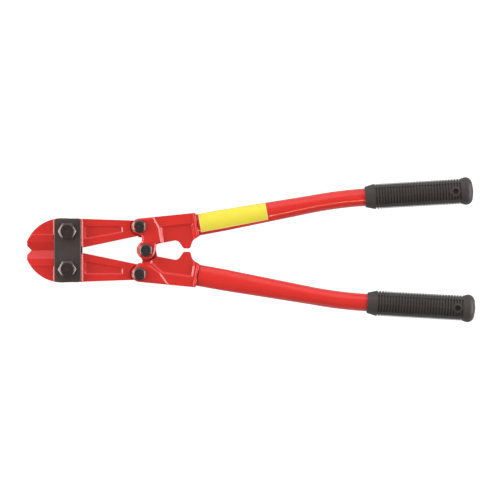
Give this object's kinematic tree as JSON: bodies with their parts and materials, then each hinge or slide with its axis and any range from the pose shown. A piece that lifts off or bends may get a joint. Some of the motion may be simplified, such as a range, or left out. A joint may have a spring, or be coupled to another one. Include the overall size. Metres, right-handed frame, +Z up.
{
  "type": "bolt cutters",
  "caption": "Compound-action bolt cutters with short forged jaws between black straps, bumpered red handle heads, bent tube handles and ribbed rubber grips.",
  "frame": {"origin": "middle of the tool in plan, on the surface that it lies on: the outer faces of the rear jaw nuts", "axes": "+X from the jaw tips to the grip ends along the line where the cutting edges meet, +Y to the upper handle, +Z up, along every pivot bolt towards its head"},
  "size_m": [0.4481, 0.1456, 0.032],
  "materials": {
    "red_enamel": "gloss",
    "black_oxide": "satin",
    "plated_steel": "satin",
    "grip_rubber": "matte",
    "label_vinyl": "gloss"
  },
  "bodies": {
    "straps": {"front_strap": "black_oxide", "rear_strap": "black_oxide", "upper_jaw_bolt": "black_oxide", "lower_jaw_bolt": "black_oxide", "upper_jaw_nut": "black_oxide", "lower_jaw_nut": "black_oxide"},
    "upper_jaw": {"upper_jaw": "red_enamel"},
    "lower_jaw": {"lower_jaw": "red_enamel"},
    "upper_handle": {"upper_handle_head": "red_enamel", "upper_tube": "red_enamel", "upper_grip": "grip_rubber", "upper_link_bolt": "black_oxide", "upper_link_nut": "black_oxide", "upper_link_front_washer": "plated_steel", "upper_link_rear_washer": "plated_steel", "centre_bolt": "black_oxide", "centre_nut": "black_oxide", "centre_front_washer": "plated_steel", "centre_rear_washer": "plated_steel"},
    "lower_handle": {"lower_handle_head": "red_enamel", "lower_tube": "red_enamel", "lower_grip": "grip_rubber", "lower_link_bolt": "black_oxide", "lower_link_nut": "black_oxide", "lower_link_front_washer": "plated_steel", "lower_link_rear_washer": "plated_steel"}
  },
  "joints": [
    {"name": "upper_jaw_pivot", "type": "hinge", "parent": "straps", "child": "upper_jaw", "pos_m": [-0.1829, 0.0189, 0.0153], "axis": [0, 0, -1], "range_deg": [0, 8.4]},
    {"name": "lower_jaw_pivot", "type": "hinge", "parent": "straps", "child": "lower_jaw", "pos_m": [-0.1829, -0.0189, 0.0153], "axis": [0, 0, 1], "range_deg": [0, 8.4]},
    {"name": "upper_handle_pivot", "type": "hinge", "parent": "upper_jaw", "child": "upper_handle", "pos_m": [-0.1114, 0.0237, 0.0153], "axis": [0, 0, 1], "range_deg": [0, 53.4]},
    {"name": "lower_handle_pivot", "type": "hinge", "parent": "lower_jaw", "child": "lower_handle", "pos_m": [-0.1114, -0.0237, 0.0153], "axis": [0, 0, -1], "range_deg": [0, 53.4]}
  ],
  "couplings": [
    {"joint": "lower_handle_pivot", "follows": "upper_handle_pivot", "ratio": 1},
    {"joint": "upper_jaw_pivot", "follows": "upper_handle_pivot", "ratio": 0.1573},
    {"joint": "lower_jaw_pivot", "follows": "upper_handle_pivot", "ratio": 0.1573}
  ]
}
